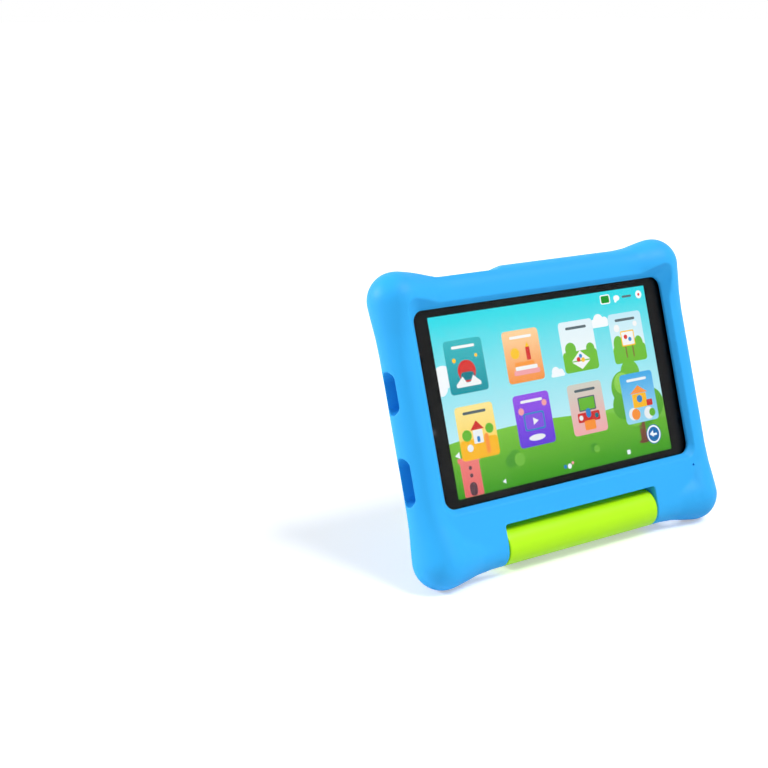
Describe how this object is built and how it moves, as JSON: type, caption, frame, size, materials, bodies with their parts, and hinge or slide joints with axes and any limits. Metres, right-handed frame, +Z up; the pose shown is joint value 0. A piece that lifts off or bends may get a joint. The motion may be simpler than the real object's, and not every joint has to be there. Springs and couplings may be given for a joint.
{
  "type": "kids tablet",
  "caption": "Eight inch touch tablet in a thick soft bumper with bulging corners; a hinged loop at its bottom edge props it up, folds into the back and is a carrying handle",
  "frame": {"origin": "On the ground under the middle of the overall box, with the tablet standing on its two lower corner bulges and the tip of the loop, as it is used for watching.", "axes": "+X to the right as seen from the front, +Y towards the back, +Z up. The screen faces -Y and leans back 18.2 degrees."},
  "size_m": [0.2376, 0.1388, 0.18],
  "materials": {
    "case_soft": "satin",
    "stand_plastic": "satin",
    "glass_black": "polished",
    "black_plastic": "satin",
    "white_plastic": "satin",
    "grey_plastic": "satin",
    "silver": "satin",
    "steel": "satin",
    "brass": "satin",
    "board": "satin",
    "flex": "satin",
    "cream": "polished"
  },
  "bodies": {
    "tablet": {"bumper_case": "case_soft", "hinge_bushing_left": "brass", "hinge_bushing_right": "brass", "cover_glass": "glass_black", "display_panel": "black_plastic", "backlight_unit": "white_plastic", "mid_frame": "grey_plastic", "rear_housing": "grey_plastic", "camera_window": "black_plastic", "camera_trim": "silver", "camera_lens": "glass_black", "flash_lens": "cream", "rear_camera": "black_plastic", "front_camera": "black_plastic", "light_sensor": "black_plastic", "battery": "silver", "battery_lead": "flex", "main_board": "board", "shield_can": "steel", "display_flex": "flex", "usb_c_port": "steel", "headphone_jack": "black_plastic", "card_slot": "steel", "microphone": "steel", "wifi_antenna": "flex", "button_board": "board", "power_switch": "steel", "volume_up_switch": "steel", "volume_down_switch": "steel", "board_screw_1": "steel", "board_screw_2": "steel", "board_screw_3": "steel", "board_screw_4": "steel", "speaker_upper": "black_plastic", "speaker_lower": "black_plastic"},
    "loop_stand": {"stand": "stand_plastic", "hinge_pin_left": "steel", "hinge_pin_right": "steel"},
    "power_key": {"power_button": "grey_plastic"},
    "volume_key": {"volume_rocker": "grey_plastic"}
  },
  "joints": [
    {"name": "stand_hinge", "type": "hinge", "parent": "tablet", "child": "loop_stand", "pos_m": [0, -0.05227, 0.01678], "axis": [1, 0, 0], "range_deg": [-106, 73.9]},
    {"name": "power_press", "type": "slide", "parent": "tablet", "child": "power_key", "axis": [0, -0.3123, -0.95], "range_m": [0, 0.0003], "stiffness_N_per_m": 900},
    {"name": "volume_rock", "type": "hinge", "parent": "tablet", "child": "volume_key", "pos_m": [-0.061, -0.00646, 0.15546], "axis": [0, 0.95, -0.3123], "range_deg": [-1.2, 1.2], "stiffness_Nm_per_rad": 0.06}
  ]
}
